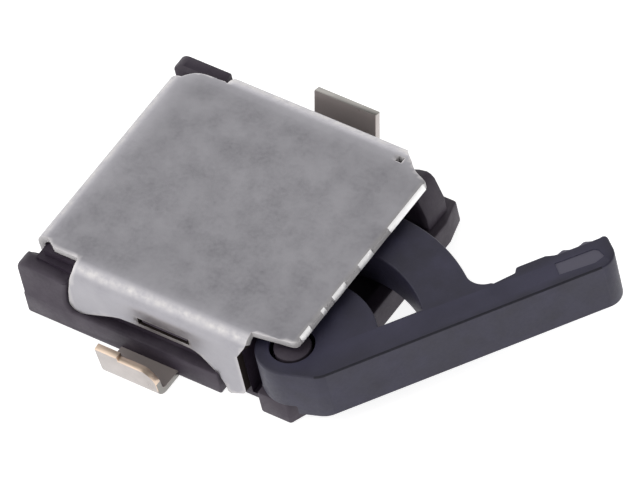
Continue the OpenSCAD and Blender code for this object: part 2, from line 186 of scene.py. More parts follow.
# The corner attribute is 1 on the faces that pass the test of their middle, normal and mark.
def paintFaces(thing, name, test):
    values = [0.0] * len(thing.data.loops)
    for face in thing.data.polygons:
        if test(face.center, face.normal, face.material_index):
            for k in face.loop_indices:
                values[k] = 1.0
    thing.data.attributes.new(name, "FLOAT", "CORNER").data.foreach_set("value", values)


# The point attribute edgeWear is 1 on rounded edges.
def paintEdges(thing):
    worn = thing.data.attributes.new("edgeWear", "FLOAT", "POINT")
    values = [0.0] * len(thing.data.vertices)
    for face in thing.data.polygons:
        if face.material_index == edgeMark:
            for v in face.vertices:
                values[v] = 1.0
        face.material_index = 0
    worn.data.foreach_set("value", values)


def finishPiece(thing, name, body, nodes, material, smooth=38):
    thing.name = name
    thing.data.name = name
    paintEdges(thing)
    move(thing, Matrix.Scale(0.001, 4))
    for face in thing.data.polygons:
        face.use_smooth = True
    thing.data.set_sharp_from_angle(angle=radians(smooth))
    modify(thing, "WEIGHTED_NORMAL", keep_sharp=True)
    coat(bake(thing), material)
    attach(thing, body)
    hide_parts(*nodes)
    print("made", name, len(thing.data.polygons), "faces")
    return thing


# Adds a node and gives its outputs.
def addNode(tree, kind, values=None, **settings):
    node = tree.nodes.new(kind)
    for key, value in settings.items():
        setattr(node, key, value)
    for key, value in (values or {}).items():
        if isinstance(value, bpy.types.NodeSocket):
            tree.links.new(value, node.inputs[key])
        else:
            node.inputs[key].default_value = value
    return node.outputs


def calculate(tree, operation, a, b=0.0, c=0.0):
    return addNode(tree, "ShaderNodeMath", {0: a, 1: b, 2: c}, operation=operation)[0]


# A tree that takes a mesh or curve, these inputs and a material.
def newTree(name, **inputs):
    tree = bpy.data.node_groups.new(name, "GeometryNodeTree")
    for label, kind in {"Geometry": "Geometry", **inputs, "Material": "Material"}.items():
        tree.interface.new_socket(
            label.replace("_", " "), in_out="INPUT", socket_type="NodeSocket" + kind)
    tree.interface.new_socket("Geometry", in_out="OUTPUT", socket_type="NodeSocketGeometry")
    return tree, tree.nodes.new("NodeGroupInput").outputs


def endTree(tree, given, geometry):
    whole = addNode(tree, "GeometryNodeRealizeInstances", {"Geometry": geometry})
    painted = addNode(tree, "GeometryNodeSetMaterial", {
        "Geometry": whole["Geometry"], "Material": given["Material"]})
    out = tree.nodes.new("NodeGroupOutput")
    tree.links.new(painted["Geometry"], out.inputs["Geometry"])
    return tree


# Sets the tree's named inputs on the object and keeps the resulting mesh.
def runTree(thing, tree, values):
    modifier = thing.modifiers.new(tree.name, "NODES")
    modifier.node_group = tree
    sockets = {s.name: s.identifier for s in tree.interface.items_tree if s.in_out == "INPUT"}
    for label, value in values.items():
        modifier[sockets[label]] = value
    made = newObject(tree.name, evaluatedMesh(thing))
    thing.modifiers.clear()
    bpy.data.objects.remove(thing)
    return coat(made, *marks)


def newMaterial(name, **fixed):
    material = bpy.data.materials.new(name)
    material.use_nodes = True
    tree = material.node_tree
    for key, value in fixed.items():
        tree.nodes["Principled BSDF"].inputs[key.replace("_", " ")].default_value = value
    return material, tree, addNode(tree, "ShaderNodeTexCoord")["Object"]


def endMaterial(material, **sockets):
    tree = material.node_tree
    for key, value in sockets.items():
        tree.links.new(value, tree.nodes["Principled BSDF"].inputs[key.replace("_", " ")])
    return material


# Noise whose features are about size millimetres across.
def noise(tree, place, size, detail=3.0, rough=0.55, stretch=None):
    if stretch:
        place = addNode(tree, "ShaderNodeMapping", {"Vector": place, "Scale": stretch})[0]
    return addNode(tree, "ShaderNodeTexNoise", {
        "Vector": place, "Scale": 1000 / size, "Detail": detail, "Roughness": rough})["Fac"]


def spread(tree, value, low, high, fromLow=0.3, fromHigh=0.7, kind="LINEAR"):
    return addNode(tree, "ShaderNodeMapRange", {
        "Value": value, "From Min": fromLow, "From Max": fromHigh, "To Min": low, "To Max": high,
    }, interpolation_type=kind)[0]


def blendColours(tree, share, a, b):
    colours = [(*c, 1) if isinstance(c, tuple) else c for c in (a, b)]
    return addNode(tree, "ShaderNodeMix", {0: share, 6: colours[0], 7: colours[1]},
                   data_type="RGBA")[2]


def attribute(tree, name):
    return addNode(tree, "ShaderNodeAttribute", attribute_name=name)["Fac"]


def bumps(tree, height, depth):
    return addNode(tree, "ShaderNodeBump", {
        "Height": height, "Distance": depth, "Strength": 1.0})[0]


def grainyRoughness(tree, cloudy, grain, look):
    return calculate(tree, "ADD", spread(tree, cloudy, *look["roughness"]),
                     spread(tree, grain, -look["grainRough"], look["grainRough"]))


# Lightens the rounded edges in patches.
def wearEdges(tree, place, body, look):
    patches = spread(tree, noise(tree, place, look["wearSize"]), *look["wear"])
    worn = calculate(tree, "MULTIPLY", attribute(tree, "edgeWear"), patches)
    return blendColours(tree, worn, body, look["edge"])


def platedSteel(look):
    material, tree, place = newMaterial("coverPlatedSteel", Metallic=1.0)
    cloudy = noise(tree, place, look["cloudSize"], 3, 0.5)
    fine = noise(tree, place, look["grainSize"], 2, 0.5)
    # a little lighter towards the far side
    across = addNode(tree, "ShaderNodeSeparateXYZ", {0: place})["Y"]
    share = calculate(tree, "ADD", spread(tree, cloudy, 0, look["cloudShare"]),
                      spread(tree, across, 0, look["farShare"], *look["farRange"]))
    body = blendColours(tree, share, look["dark"], look["light"])
    body = blendColours(tree, spread(tree, fine, 0, look["grainShare"]), body, look["light"])
    body = wearEdges(tree, place, body, look)
    # painted highlight: bright specks along the crest of each fold, where the sheet turns over
    specks = spread(tree, noise(tree, place, look["speckSize"], 3, 0.6), *look["specks"])
    foldHighlight = calculate(tree, "MULTIPLY", attribute(tree, "foldHighlight"), specks)
    body = blendColours(tree, foldHighlight, body, look["foldHighlight"])
    sheared, rubbedGlint = attribute(tree, "cutFace"), attribute(tree, "rubbedGlint")
    body = blendColours(tree, sheared, body, look["cut"])
    # painted highlight: the rubbed slopes on the open edge take a near-white glint colour
    body = blendColours(tree, rubbedGlint, body, look["rubbedGlint"])
    # painted shade: the cut faces beside the hub and in the latch slots are made nearly black
    body = blendColours(tree, attribute(tree, "cutShade"), body, look["cutShade"])
    rough = grainyRoughness(tree, cloudy, fine, look)
    dull = calculate(
        tree, "MULTIPLY", calculate(tree, "SUBTRACT", sheared, rubbedGlint), look["cutRough"])
    return endMaterial(material, Base_Color=body, Normal=bumps(tree, cloudy, look["bump"]),
                       Roughness=calculate(tree, "MAXIMUM", rough, dull))


def mouldedResin(name, look):
    material, tree, place = newMaterial(name, IOR=look["ior"])
    cloudy = noise(tree, place, look["cloudSize"], 4)
    grain = noise(tree, place, look["grainSize"], 2, 0.6)
    body = blendColours(tree, spread(tree, cloudy, 0, 1), look["dark"], look["light"])
    body = wearEdges(tree, place, body, look)
    rough = grainyRoughness(tree, cloudy, grain, look)
    for mark, colour, rougher in look["marks"]:
        share = attribute(tree, mark)
        body = blendColours(tree, share, body, colour)
        rough = calculate(tree, "MULTIPLY_ADD", share, rougher, rough)
    height = calculate(tree, "ADD", grain, calculate(tree, "MULTIPLY", cloudy, 0.5))
    return endMaterial(material, Base_Color=body, Roughness=rough,
                       Normal=bumps(tree, height, look["bump"]))


def platedTerminal(look):
    material, tree, place = newMaterial("terminalPlating", Metallic=1.0)
    cloudy = noise(tree, place, look["cloudSize"], 4)
    body = blendColours(tree, spread(tree, cloudy, 0, 1), look["dark"], look["light"])
    # partly tarnish, partly painted shade: darkens the near foot behind its lip and the far lip's
    # top
    body = blendColours(tree, attribute(tree, "tarnishAndShade"), body, look["tarnishAndShade"])
    body = blendColours(tree, attribute(tree, "bareMetal"), body, look["bare"])
    # painted light: the faces turned to the base are made less metallic and lighter, so they don't
    # take the dark base's reflection
    dulled = attribute(tree, "dulled")
    return endMaterial(
        material, Base_Color=blendColours(tree, dulled, body, look["dull"]),
        Metallic=calculate(tree, "MULTIPLY_ADD", dulled, -look["metalDrop"], 1.0),
        Roughness=spread(tree, cloudy, *look["roughness"]),
        Normal=bumps(tree, cloudy, look["bump"]))


def drawnMetal(name, look):
    material, tree, place = newMaterial(name, Metallic=1.0)
    streaks = noise(tree, place, look["grainSize"], 3, 0.6, look["stretch"])
    body = blendColours(tree, spread(tree, streaks, 0, 1), look["dark"], look["light"])
    return endMaterial(material, Base_Color=body, Normal=bumps(tree, streaks, look["bump"]),
                       Roughness=spread(tree, streaks, *look["roughness"]))


# Sizes of patterns are in millimetres; bump depths and farRange are in metres.
coverFinish = platedSteel({
    "dark": (0.33, 0.321, 0.347), "light": (0.414, 0.404, 0.43), "edge": (0.6, 0.58, 0.58),
    "cut": (0.66, 0.645, 0.65), "rubbedGlint": (0.97, 0.96, 0.96), "foldHighlight": (0.56, 0.54, 0.53),
    "cutShade": (0.045, 0.035, 0.032), "cloudSize": 0.34, "cloudShare": 0.8,
    "grainSize": 0.05, "grainShare": 0.4, "grainRough": 0.03, "farShare": 0.35,
    "farRange": (-0.0015, 0.0016), "wearSize": 0.5, "wear": (0.35, 1), "speckSize": 0.11,
    "specks": (0.15, 1, 0.36, 0.66), "cutRough": 0.85, "roughness": (0.36, 0.44),
    "bump": 0.0000008,
})
baseFinish = mouldedResin("baseResin", {
    "dark": (0.022, 0.0145, 0.0255), "light": (0.034, 0.0245, 0.0385),
    "edge": (0.07, 0.058, 0.074), "marks": (), "wearSize": 0.35, "wear": (0.2, 0.9),
    "ior": 1.35, "cloudSize": 0.5, "grainSize": 0.035, "grainRough": 0.05,
    "roughness": (0.48, 0.6), "bump": 0.0000015,
})
leverFinish = mouldedResin("leverResin", {
    "dark": (0.025, 0.023, 0.047), "light": (0.039, 0.036, 0.068),
    "edge": (0.02, 0.018, 0.032), "wearSize": 0.35, "wear": (0.2, 0.9),
    # the second mark is painted shade: a dark line along the lever's outer top edge
    "marks": (("mattPad", (0.085, 0.08, 0.112), 0), ("topEdgeShade", (0.013, 0.012, 0.02), 0.3)),
    "ior": 1.43, "cloudSize": 0.6, "grainSize": 0.04, "grainRough": 0.05,
    "roughness": (0.44, 0.55), "bump": 0.0000012,
})
terminalFinish = platedTerminal({
    "dark": (0.41, 0.38, 0.365), "light": (0.53, 0.49, 0.475), "bare": (0.74, 0.59, 0.47),
    "tarnishAndShade": (0.27, 0.26, 0.245), "dull": (0.37, 0.325, 0.31), "metalDrop": 0.7,
    "cloudSize": 0.3, "roughness": (0.26, 0.38), "bump": 0.0000008,
})
springFinish = drawnMetal("springWire", {
    "dark": (0.36, 0.35, 0.33), "light": (0.52, 0.5, 0.47), "grainSize": 0.02,
    "stretch": (1, 1, 4), "roughness": (0.25, 0.4), "bump": 0.0000003,
})
contactFinish = drawnMetal("contactStrip", {
    "dark": (0.62, 0.46, 0.22), "light": (0.78, 0.62, 0.36), "grainSize": 0.05,
    "stretch": (1, 6, 1), "roughness": (0.25, 0.38), "bump": 0.0000004,
})

# Sizes that several pieces share. Angles are in degrees about the pivot; nearX and farX are
# the two ends of the terminals' strips.
switch = {
    "height": 1.2, "halfLength": 2.05, "halfWidth": 1.8, "floor": 0.2, "skirt": 0.37,
    "sheet": 0.1, "pivot": (1.81, -1.37), "pinRadius": 0.235, "boreRadius": 0.255,
    "coilRadius": 0.28, "coverLow": 1.1, "leverTop": 1.0, "slotX": (-0.26, 0.5),
    "slotZ": (0.695, 0.8), "legX": (0.92, 1.24), "wallX": 1.81, "wallY": 1.65,
    "restAngle": 54.4, "swing": 32, "armIn": 1.61, "armOut": 2.26, "sweep": 57,
    "studs": (12, 5), "commonRadius": 1.755, "signalRadius": 2.105, "tipAngle": 121.4,
    "nearX": (-0.625, 0.225), "nearIn": -0.85, "farX": (-0.42, 0.5), "farIn": -0.2,
    "slitAngle": 134,
}
px, py = switch["pivot"]
hl, hw = switch["halfLength"], switch["halfWidth"]
aboutPivot = Matrix.Translation((px, py, 0))
leverAtRest = aboutPivot @ Matrix.Rotation(radians(switch["restAngle"]), 4, "Z")


# Bends a strip of sheet along a line.
def stripTree():
    tree, given = newTree("bentStrip", Width="Float", Sheet="Float", Bend_Radius="Float")
    bent = addNode(tree, "GeometryNodeFilletCurve", {
        "Curve": given["Geometry"], "Radius": given["Bend Radius"], "Count": 10}, mode="POLY")
    section = addNode(tree, "GeometryNodeCurvePrimitiveQuadrilateral", {
        "Width": given["Width"], "Height": given["Sheet"]})
    swept = addNode(tree, "GeometryNodeCurveToMesh", {
        "Curve": bent["Curve"], "Profile Curve": section["Curve"], "Fill Caps": True})
    return endTree(tree, given, swept["Mesh"])


def pathObject(points):
    curve = bpy.data.curves.new("path", "CURVE")
    curve.dimensions = "3D"
    spline = curve.splines.new("POLY")
    spline.points.add(len(points) - 1)
    for point, place in zip(spline.points, points):
        point.co = (*place, 1)
    return newObject("path", curve)


# The strip's middle line runs out of the base and up its leaning lip, on the near side.
def bentFoot(tree, sizes):
    lean, half = radians(sizes["lean"]), sizes["sheet"] / 2
    rOut = sizes["sheet"] + sizes["bend"]
    bendCentre = (-hw - sizes["reach"] + rOut, rOut)
    rise = (sizes["lipHeight"] - rOut * (1 - sin(lean))) / cos(lean)
    mid = rOut - half
    top = (
        bendCentre[0] - mid * cos(lean) - rise * sin(lean),
        bendCentre[1] - mid * sin(lean) + rise * cos(lean),
    )
    # where the two straight runs of the middle line would meet
    corner = (bendCentre[0] - mid * tan((pi / 2 - lean) / 2), half)
    x0, x1 = sizes["ends"]
    x = (x0 + x1) / 2
    points = [(x, -hw + sizes["tail"], half), (x, *corner), (x, *top)]
    return runTree(pathObject(points), tree, {
        "Width": x1 - x0, "Sheet": sizes["sheet"], "Bend Radius": mid,
        "Material": terminalFinish,
    })


def makeTerminals():
    tree = stripTree()
    shared = {"sheet": 0.1, "reach": 0.41, "bend": 0.06, "tail": 0.07}
    edge, trackHalf, low, floor = 0.012, 0.1, 0.1, switch["floor"]
    # how far in from the side of the base the riser in the wall and the strip start
    riserIn, stripIn, riserEnd, slim, thin = 0.04, 0.08, 0.1, 0.02, 0.002
    tip, swing = switch["tipAngle"], switch["swing"]

    near = {**shared, "ends": switch["nearX"], "lean": 5, "lipHeight": 0.54,
            "lipStep": 0.06, "stepX": -0.29, "lipRound": 0.21}
    x0, x1 = near["ends"]
    lipTop, lipRound = near["lipHeight"] - near["lipStep"], near["lipRound"]
    foot = bentFoot(tree, near)
    cut(foot, block(near["stepX"], 5, -hw - 5, -hw - 0.1, lipTop, 5))
    cut(foot, prism([(x1 + 0.1, lipTop + 0.1), (x1 - lipRound, lipTop + 0.1)]
                    + arcPoints((x1 - lipRound, lipTop - lipRound), lipRound, 90, 0, 8)
                    + [(x1 + 0.1, lipTop - lipRound)], -hw - 5, -hw - 0.1, "y"))
    roundEdges(foot, edge, 2)
    strip = block(x0, x1, -hw + stripIn, switch["nearIn"], low, floor)
    riser = block(x0 + slim, x1 - slim, -hw + riserIn, -hw + riserEnd, slim, floor - thin)
    track = move(ringSector(
        switch["commonRadius"] - trackHalf, switch["commonRadius"] + trackHalf,
        tip - 5, tip + swing + 14, low, floor), aboutPivot)
    common = unite(foot, riser, strip, track)
    outside = -hw - 0.01
    # partly tarnish, partly painted shade: the near foot's top and sides outside the base
    paintFaces(common, "tarnishAndShade", lambda c, n, _: c.y < outside and c.z < 0.3
               and (n.z > 0.3 or n.x > 0.6))
    # painted light: the lip's inner face and the foot's top are made lighter and less metallic
    paintFaces(common, "dulled", lambda c, n, _: c.y < outside and c.z < 0.45 and (
        n.y > 0.3 or (n.z > 0.3 and c.z < 0.3)))
    paintFaces(common, "bareMetal", lambda c, n, _: c.y < -hw - 0.02 and c.z > 0.17
               and (abs(n.x) > 0.6 or n.z > 0.3))
    finishPiece(common, "commonTerminal", "housing", ["common_terminal"],
                terminalFinish)

    far = {**shared, "ends": switch["farX"], "lean": 16, "lipHeight": 0.68}
    x0, x1 = far["ends"]
    foot = roundEdges(flip(bentFoot(tree, far)), edge, 2)
    rIn = switch["signalRadius"] - trackHalf
    strip = block(x0, x1, switch["farIn"], hw - stripIn, low, floor)
    cut(strip, move(disc((0, 0), rIn, -1, 2), aboutPivot))
    riser = block(x0 + slim, x1 - slim, hw - riserEnd, hw - riserIn, slim, floor - thin)
    track = move(ringSector(rIn, switch["signalRadius"] + trackHalf,
                            tip + 5, tip + swing + 5, low, floor), aboutPivot)
    signal = unite(foot, riser, strip, track)
    outside = hw + 0.02
    # partly tarnish, partly painted shade: the far lip's sides and top
    paintFaces(signal, "tarnishAndShade", lambda c, n, _: c.y > outside and (
        (n.x > 0.6 and c.z > 0.17) or (n.z > 0.5 and c.z > 0.6)))
    # painted light: the lip's inner face is made lighter and less metallic
    paintFaces(signal, "dulled", lambda c, n, _: c.y > outside and n.y < -0.3)
    paintFaces(signal, "bareMetal", lambda c, n, _: n.x < -0.6 and c.y > outside
               and c.z > 0.17)
    finishPiece(signal, "signalTerminal", "housing", ["signal_terminal"],
                terminalFinish)


def makeBase():
    sizes = {
        "nearCut": (0.16, 0.35), "farCut": (0.09, 0.35), "wall": 0.3, "sill": 0.2,
        "nearPostLength": 0.68, "farPostLength": 0.79, "nearPost": 0.98, "farPost": 1.08,
        "postTop": 0.16, "postFall": 0.22, "postRound": 0.18, "postPlan": 0.24,
        "earRound": 0.17, "legRoom": (0.06, 0.21), "lug": 0.68, "lugOut": 0.09, "lugGap": 0.02,
        "pad": 0.62, "nearGap": 0.11, "sidePost": 0.44, "sidePostIn": 0.41, "bendRoom": 0.08,
        "topGap": 0.02, "round": 0.03, "pinEdge": 0.025,
    }
    wallX, wallY = switch["wallX"], switch["wallY"]
    roomX, roomY = wallX - sizes["wall"], wallY - sizes["wall"]
    legX, skirt, high = switch["legX"], switch["skirt"], switch["coverLow"] - sizes["topGap"]
    # coplanar faces would spoil the joining, so solids that meet stay this much apart
    hair, thin = 0.0007, 0.0005
    footprint = [
        (-hl, -hw), (hl - sizes["nearCut"][0], -hw), (hl, -hw + sizes["nearCut"][1]),
        (hl, hw - sizes["farCut"][1]), (hl - sizes["farCut"][0], hw), (-hl, hw),
    ]
    sideX1 = hl - sizes["nearGap"]
    sideX0, sideY = sideX1 - sizes["sidePost"], wallY - sizes["sidePostIn"]

    shell = prism(footprint, 0, skirt)
    legRoomX = (legX[0] - sizes["legRoom"][0], legX[1] + sizes["legRoom"][1])
    cut(shell, block(*legRoomX, -hw - 1, -wallY, -1, 1), block(*legRoomX, wallY, hw + 1, -1, 1))
    roundEdges(shell, sizes["round"], 2)
    cut(
        shell,
        block(-roomX, hl - sizes["sill"], -roomY, roomY, switch["floor"], 5),
        block(legX[1] + 0.001, legRoomX[1] - 0.001, -wallY - 0.001, -wallY + 0.2, 0.1, 6),
    )
    # the walls' tops step in, clear of the cover's bends
    room = sizes["bendRoom"]
    unite(
        shell,
        block(-wallX, sideX0, roomY + thin, wallY, 0.3, high - room),
        block(-wallX, legX[1], -wallY, -roomY - thin, 0.31, high - room),
        block(-wallX - thin, -roomX - thin, -wallY + 0.1, wallY - 0.1, 0.32, high - room),
    )
    unite(
        shell,
        block(-wallX + room, sideX0 - 0.01, roomY + 2 * thin, wallY - room, 0.93, high),
        block(-wallX + room, legX[1] - 0.01, -wallY + room, -roomY - 2 * thin, 0.94, high),
        block(-wallX + room - thin, -roomX - 2 * thin, -wallY + 0.2, wallY - 0.2, 0.95, high),
    )

    # post on the near end corner: its outline along x, trimmed across y and in plan
    def endPost(x1, top, rightSide, soft):
        left, r = -hl + hair, sizes["postRound"]
        post = prism([(x1, 0.15), (left, 0.15)]
                     + arcPoints((left + r, top - r), r, 180, 90, 8) + rightSide,
                     -hw + hair, -roomY - 0.001, "y")
        if soft:
            roundEdges(post, soft, 3, 50, False)
        shoulder, fall = -hw + sizes["postTop"], sizes["postFall"]
        across = prism([
            (-roomY + 1, -1), (-hw - 1, -1), (-hw - 1, top + 1), (shoulder, top + 0.0001),
            (shoulder + 0.05, top - 0.025), (-hw + 1.5 * sizes["postTop"], top - 0.3 * fall),
            (-roomY, top - fall), (-roomY + 1, top - 2 * fall)], -hl - 0.1, x1 + 0.1, "x")
        r = sizes["postPlan"]
        plan = prism([(-hl - 1, -hw - 1), (x1 + 1, -hw - 1), (x1 + 1, 1), (-wallX, 1),
                      (-wallX, -roomY)] + arcPoints((-hl + r, -hw + 0.06), r, 90, 180, 8)[1:],
                     -1, top + 1.5)
        keepInside(post, across, plan)
        return roundEdges(post, 0.022, 2)

    # the near post's right side follows the edge of the cover's flap
    nearPostX, farPostX = -hl + sizes["nearPostLength"], -hl + sizes["farPostLength"]
    ear = (nearPostX + sizes["earRound"], skirt + 0.15)
    besideFlap = [(ear[0] - 0.25, 0.945), (ear[0] - 0.09, 0.9), (nearPostX + 0.07, 0.87),
                  (nearPostX + 0.03, 0.73)]
    besideFlap += arcPoints(ear, sizes["earRound"], 180, 262, 8)
    top = switch["leverTop"]
    x0, x1 = sideX0 - 0.02, sideX1
    sidePost = prism([
        (x0, 0.04), (x1, 0.04), (x1, top - 0.4), (x1 - 0.05, top - 0.2), (x1 - 0.08, top - 0.08),
        (x1 - 0.13, top - 0.02), (x1 - 0.19, top), (x0 + 0.15, top - 0.03), (x0, top - 0.1)],
        sideY, wallY - 0.002, "y")
    roundEdges(sidePost, 0.04, 2, 40)
    pad = prism(arcPoints((px, py), sizes["pad"], 0, 354, 59), 0.05, skirt - hair)
    keepInside(pad, block(px - 1, hl - sizes["sill"] + 0.02, -roomY - 0.02, 0, 0, 2))

    # lug that the cover's latch slot snaps over
    def lug():
        mid, half = sum(switch["slotX"]) / 2, sizes["lug"] / 2
        low, top = switch["slotZ"]
        return roundEdges(block(
            mid - half, mid + half, -wallY - sizes["lugOut"], -wallY + 0.02,
            low + sizes["lugGap"], top - sizes["lugGap"]), 0.015, 2)

    unite(
        shell,
        endPost(ear[0], sizes["nearPost"], besideFlap, 0.05),
        flip(endPost(farPostX, sizes["farPost"], [(farPostX, sizes["farPost"])], 0)),
        sidePost, pad, lug(), flip(lug()),
    )
    pin = disc((px, py), switch["pinRadius"], 0.1, top - 0.015, 64)
    unite(shell, roundEdges(pin, sizes["pinEdge"], 2))
    slit = block(0, 0.255, 0.005, 0.075, 0.74, 3)
    cut(shell, move(slit, aboutPivot @ Matrix.Rotation(radians(switch["slitAngle"]), 4, "Z")))
    # the strips and tracks of the terminals lie in the floor
    nearX, farX = switch["nearX"], switch["farX"]
    bedTop, footTop = switch["floor"] + thin, 0.1 + thin
    cut(
        shell,
        block(*nearX, -hw + 0.04, switch["nearIn"], 0.1, bedTop),
        block(*nearX, -hw - 1, -hw + 0.1, -1, footTop),
        block(*farX, switch["farIn"], hw - 0.04, 0.1, bedTop),
        block(*farX, hw - 0.1, hw + 1, -1, footTop),
    )
    finishPiece(shell, "mouldedBase", "housing", ["base"], baseFinish)


# Bends a blank that lies in z = 0 down past two side fold lines and one end fold line.
# The sheet eases into each bend over a short way before the line.
def foldTree():
    tree, given = newTree(
        "foldSheet", Side_Fold="Float", Far_Extra="Float", End_Fold="Float",
        Outer_Radius="Float", Ease="Float", Ease_Turn="Float", Top="Float")
    start = addNode(tree, "GeometryNodeInputPosition")[0]
    parts = addNode(tree, "ShaderNodeSeparateXYZ", {0: start})
    fromX, fromY = parts["X"], parts["Y"]
    radius, ease, easeTurn = (given[k] for k in ("Outer Radius", "Ease", "Ease Turn"))

    add, minus, times, least, most, over = (
        partial(calculate, tree, operation)
        for operation in ("ADD", "SUBTRACT", "MULTIPLY", "MINIMUM", "MAXIMUM", "DIVIDE"))
    do = partial(calculate, tree)

    # distance from the middle on the blank to distance and drop on the folded sheet
    def bend(distance, fold):
        eased = least(most(minus(distance, minus(fold, ease))), ease)
        easeDrop = over(times(easeTurn, times(eased, eased)), times(ease, 2.0))
        past = most(minus(distance, fold))
        whole = minus(pi / 2, easeTurn)
        turn = add(easeTurn, least(over(past, radius), whole))
        straight = most(minus(past, times(radius, whole)))
        outward = times(minus(do("SINE", turn), do("SINE", easeTurn)), radius)
        drop = times(minus(do("COSINE", easeTurn), do("COSINE", turn)), radius)
        return add(least(distance, fold), outward), add(easeDrop, add(drop, straight))

    farShare = times(given["Far Extra"], do("GREATER_THAN", fromY))
    sideways, sideDrop = bend(do("ABSOLUTE", fromY), add(given["Side Fold"], farShare))
    endways, endDrop = bend(times(fromX, -1.0), given["End Fold"])
    place = addNode(tree, "ShaderNodeCombineXYZ", {
        "X": times(endways, -1.0), "Y": times(sideways, do("SIGN", fromY)),
        "Z": minus(given["Top"], add(sideDrop, endDrop))})
    moved = addNode(tree, "GeometryNodeSetPosition", {
        "Geometry": given["Geometry"], "Position": place[0]})
    return endTree(tree, given, moved["Geometry"])


